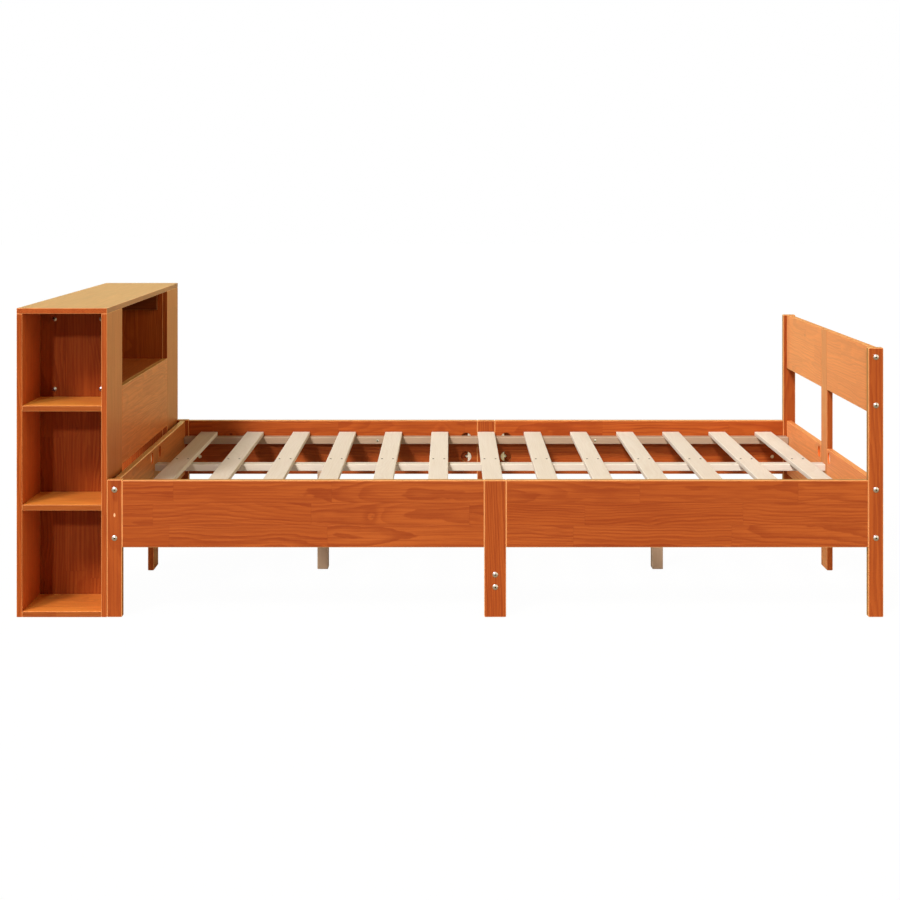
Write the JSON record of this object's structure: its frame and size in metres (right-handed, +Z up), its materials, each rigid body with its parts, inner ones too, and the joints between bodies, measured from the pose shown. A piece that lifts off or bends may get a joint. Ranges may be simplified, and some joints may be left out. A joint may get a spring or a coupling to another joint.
{
  "type": "bookcase headboard bed",
  "caption": "Stained pine bed with pale slats on a middle beam, and a headboard bookcase with open end cubbies and a niche facing the sleeper.",
  "frame": {"origin": "on the floor, under the middle of the whole bed with its bookcase", "axes": "+X from the bookcase at the head to the footboard, +Y to the left of someone lying on their back, +Z up"},
  "size_m": [2.3, 1.261, 0.82],
  "materials": {
    "frame_pine": "satin stained and lacquered solid pine, edges rubbed lighter",
    "case_pine": "satin stained and lacquered glued pine board, edges rubbed lighter",
    "pale_pine": "planed pine with no stain",
    "raw_pine": "planed pine with no stain, a little darker",
    "zinc_steel": "bright zinc plated steel",
    "dowel_beech": "plain beech, hidden in the joints"
  },
  "bodies": {
    "root": {"head_post_right": "frame_pine", "head_post_left": "frame_pine", "foot_post_right": "frame_pine", "foot_post_left": "frame_pine", "head_mid_post": "frame_pine", "foot_mid_post": "frame_pine", "centre_leg_right": "frame_pine", "centre_leg_left": "frame_pine", "side_rail_head_right": "frame_pine", "side_rail_head_left": "frame_pine", "side_rail_foot_right": "frame_pine", "side_rail_foot_left": "frame_pine", "head_board_right": "frame_pine", "head_board_left": "frame_pine", "foot_board_right": "frame_pine", "foot_board_left": "frame_pine", "foot_panel_right": "frame_pine", "foot_panel_left": "frame_pine", "centre_crossbar": "frame_pine", "bookcase_top": "case_pine", "tower_rear_board_right": "case_pine", "tower_rear_board_left": "case_pine", "tower_front_board_right": "case_pine", "tower_front_board_left": "case_pine", "tower_partition_right": "case_pine", "tower_partition_left": "case_pine", "tower_shelves_right": "case_pine", "tower_shelves_left": "case_pine", "niche_shelf": "case_pine", "niche_front_panel": "case_pine", "niche_back_panel": "case_pine", "top_cleats": "case_pine", "slat_ledgers": "pale_pine", "middle_beam_head": "pale_pine", "middle_beam_foot": "pale_pine", "slat_01": "pale_pine", "slat_02": "pale_pine", "slat_03": "pale_pine", "slat_04": "pale_pine", "slat_05": "pale_pine", "slat_06": "pale_pine", "slat_07": "pale_pine", "slat_08": "pale_pine", "slat_09": "pale_pine", "slat_10": "pale_pine", "slat_11": "pale_pine", "slat_12": "pale_pine", "slat_13": "pale_pine", "beam_legs": "raw_pine", "post_bolts": "zinc_steel", "rail_bolts": "zinc_steel", "barrel_nuts": "zinc_steel", "joining_rods": "zinc_steel", "half_moon_washers": "zinc_steel", "rod_nuts": "zinc_steel", "slat_screws": "zinc_steel", "long_screws": "zinc_steel", "partition_bolts": "zinc_steel", "case_fixing_screws": "zinc_steel", "wooden_dowels": "dowel_beech"}
  },
  "joints": []
}
